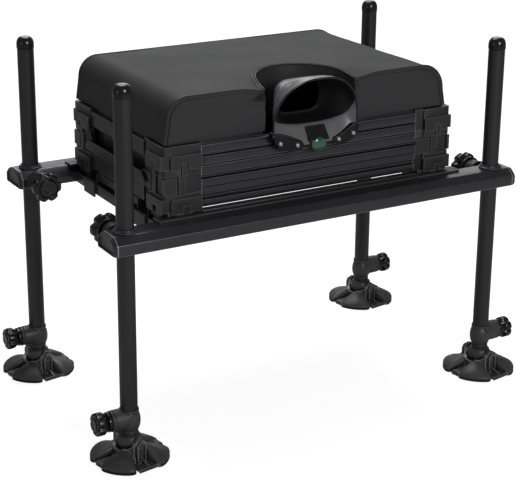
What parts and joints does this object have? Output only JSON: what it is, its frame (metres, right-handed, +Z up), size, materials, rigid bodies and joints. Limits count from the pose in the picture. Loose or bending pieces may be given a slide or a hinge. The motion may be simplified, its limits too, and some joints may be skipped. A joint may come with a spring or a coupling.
{
  "type": "fishing seat box",
  "caption": "Padded tackle seat box on two cross bars with round clamped legs, hinged mud feet, side drawer and pole cup.",
  "frame": {"origin": "on the ground, at the centre of the bounding box", "axes": "+Z up, -Y towards the front bar, +X to the right seen from the front"},
  "size_m": [0.8778, 0.54, 0.6493],
  "materials": {
    "anodised_aluminium": "black anodised, satin",
    "ribbed_aluminium": "black anodised extrusion",
    "moulded_plastic": "moulded glass-filled nylon, fine texture",
    "gloss_plastic": "gloss black nylon",
    "satin_plastic": "satin black moulding",
    "padded_vinyl": "vinyl over foam, fine grain",
    "level_glass": "green spirit level"
  },
  "bodies": {
    "frame": {"bar_front": "anodised_aluminium", "bar_rear": "anodised_aluminium", "rail_left": "anodised_aluminium", "rail_right": "anodised_aluminium", "base_side_left": "moulded_plastic", "base_side_right": "moulded_plastic", "base_strip_front": "moulded_plastic", "base_strip_rear": "moulded_plastic", "lower_shell": "moulded_plastic", "lower_panel_front": "ribbed_aluminium", "lower_panel_rear": "ribbed_aluminium", "upper_panel_front": "ribbed_aluminium", "upper_panel_rear": "ribbed_aluminium", "upper_tray": "moulded_plastic", "pole_cup": "satin_plastic", "bubble_level": "level_glass", "leg_clamp_front_left": "moulded_plastic", "bar_cap_front_left": "moulded_plastic", "lower_corner_front_left": "moulded_plastic", "upper_corner_front_left": "moulded_plastic", "leg_clamp_front_right": "moulded_plastic", "bar_cap_front_right": "moulded_plastic", "lower_corner_front_right": "moulded_plastic", "upper_corner_front_right": "moulded_plastic", "leg_clamp_rear_right": "moulded_plastic", "bar_cap_rear_right": "moulded_plastic", "lower_corner_rear_right": "moulded_plastic", "upper_corner_rear_right": "moulded_plastic", "leg_clamp_rear_left": "moulded_plastic", "bar_cap_rear_left": "moulded_plastic", "lower_corner_rear_left": "moulded_plastic", "upper_corner_rear_left": "moulded_plastic"},
    "drawer": {"drawer_front": "moulded_plastic", "drawer_tray": "moulded_plastic"},
    "seat": {"seat_board": "moulded_plastic", "cushion": "padded_vinyl"},
    "leg_front_left": {"leg_front_left": "anodised_aluminium", "leg_cap_front_left": "gloss_plastic", "foot_socket_front_left": "moulded_plastic"},
    "clamp_knob_front_left": {"clamp_knob_front_left": "gloss_plastic"},
    "foot_knob_front_left": {"foot_knob_front_left": "gloss_plastic"},
    "mud_foot_front_left": {"mud_foot_front_left": "moulded_plastic"},
    "leg_front_right": {"leg_front_right": "anodised_aluminium", "leg_cap_front_right": "gloss_plastic", "foot_socket_front_right": "moulded_plastic"},
    "clamp_knob_front_right": {"clamp_knob_front_right": "gloss_plastic"},
    "foot_knob_front_right": {"foot_knob_front_right": "gloss_plastic"},
    "mud_foot_front_right": {"mud_foot_front_right": "moulded_plastic"},
    "leg_rear_right": {"leg_rear_right": "anodised_aluminium", "leg_cap_rear_right": "gloss_plastic", "foot_socket_rear_right": "moulded_plastic"},
    "clamp_knob_rear_right": {"clamp_knob_rear_right": "gloss_plastic"},
    "foot_knob_rear_right": {"foot_knob_rear_right": "gloss_plastic"},
    "mud_foot_rear_right": {"mud_foot_rear_right": "moulded_plastic"},
    "leg_rear_left": {"leg_rear_left": "anodised_aluminium", "leg_cap_rear_left": "gloss_plastic", "foot_socket_rear_left": "moulded_plastic"},
    "clamp_knob_rear_left": {"clamp_knob_rear_left": "gloss_plastic"},
    "foot_knob_rear_left": {"foot_knob_rear_left": "gloss_plastic"},
    "mud_foot_rear_left": {"mud_foot_rear_left": "moulded_plastic"}
  },
  "joints": [
    {"name": "seat_hinge", "type": "hinge", "parent": "frame", "child": "seat", "pos_m": [0, 0.1875, 0.5245], "axis": [-1, 0, 0], "range_deg": [0, 95]},
    {"name": "drawer_slide", "type": "slide", "parent": "frame", "child": "drawer", "axis": [-1, 0, 0], "range_m": [0, 0.3]},
    {"name": "leg_slide_front_left", "type": "slide", "parent": "frame", "child": "leg_front_left", "axis": [0, 0, 1], "range_m": [-0.2, 0.25]},
    {"name": "clamp_knob_turn_front_left", "type": "hinge", "parent": "frame", "child": "clamp_knob_front_left", "pos_m": [-0.372, -0.129, 0.387], "axis": [0, 1, 0], "continuous": true},
    {"name": "foot_knob_turn_front_left", "type": "hinge", "parent": "leg_front_left", "child": "foot_knob_front_left", "pos_m": [-0.427, -0.204, 0.074], "axis": [-1, 0, 0], "continuous": true},
    {"name": "foot_tilt_front_left", "type": "hinge", "parent": "leg_front_left", "child": "mud_foot_front_left", "pos_m": [-0.372, -0.204, 0.032], "axis": [0.1736, -0.9848, 0], "range_deg": [-22, 22]},
    {"name": "leg_slide_front_right", "type": "slide", "parent": "frame", "child": "leg_front_right", "axis": [0, 0, 1], "range_m": [-0.2, 0.25]},
    {"name": "clamp_knob_turn_front_right", "type": "hinge", "parent": "frame", "child": "clamp_knob_front_right", "pos_m": [0.372, -0.129, 0.387], "axis": [0, 1, 0], "continuous": true},
    {"name": "foot_knob_turn_front_right", "type": "hinge", "parent": "leg_front_right", "child": "foot_knob_front_right", "pos_m": [0.427, -0.204, 0.074], "axis": [1, 0, 0], "continuous": true},
    {"name": "foot_tilt_front_right", "type": "hinge", "parent": "leg_front_right", "child": "mud_foot_front_right", "pos_m": [0.372, -0.204, 0.032], "axis": [0.1736, -0.9848, 0], "range_deg": [-22, 22]},
    {"name": "leg_slide_rear_right", "type": "slide", "parent": "frame", "child": "leg_rear_right", "axis": [0, 0, 1], "range_m": [-0.2, 0.25]},
    {"name": "clamp_knob_turn_rear_right", "type": "hinge", "parent": "frame", "child": "clamp_knob_rear_right", "pos_m": [0.372, 0.129, 0.387], "axis": [0, -1, 0], "continuous": true},
    {"name": "foot_knob_turn_rear_right", "type": "hinge", "parent": "leg_rear_right", "child": "foot_knob_rear_right", "pos_m": [0.427, 0.204, 0.074], "axis": [1, 0, 0], "continuous": true},
    {"name": "foot_tilt_rear_right", "type": "hinge", "parent": "leg_rear_right", "child": "mud_foot_rear_right", "pos_m": [0.372, 0.204, 0.032], "axis": [0.1736, -0.9848, 0], "range_deg": [-22, 22]},
    {"name": "leg_slide_rear_left", "type": "slide", "parent": "frame", "child": "leg_rear_left", "axis": [0, 0, 1], "range_m": [-0.2, 0.25]},
    {"name": "clamp_knob_turn_rear_left", "type": "hinge", "parent": "frame", "child": "clamp_knob_rear_left", "pos_m": [-0.372, 0.129, 0.387], "axis": [0, -1, 0], "continuous": true},
    {"name": "foot_knob_turn_rear_left", "type": "hinge", "parent": "leg_rear_left", "child": "foot_knob_rear_left", "pos_m": [-0.427, 0.204, 0.074], "axis": [-1, 0, 0], "continuous": true},
    {"name": "foot_tilt_rear_left", "type": "hinge", "parent": "leg_rear_left", "child": "mud_foot_rear_left", "pos_m": [-0.372, 0.204, 0.032], "axis": [0.1736, -0.9848, 0], "range_deg": [-22, 22]}
  ]
}
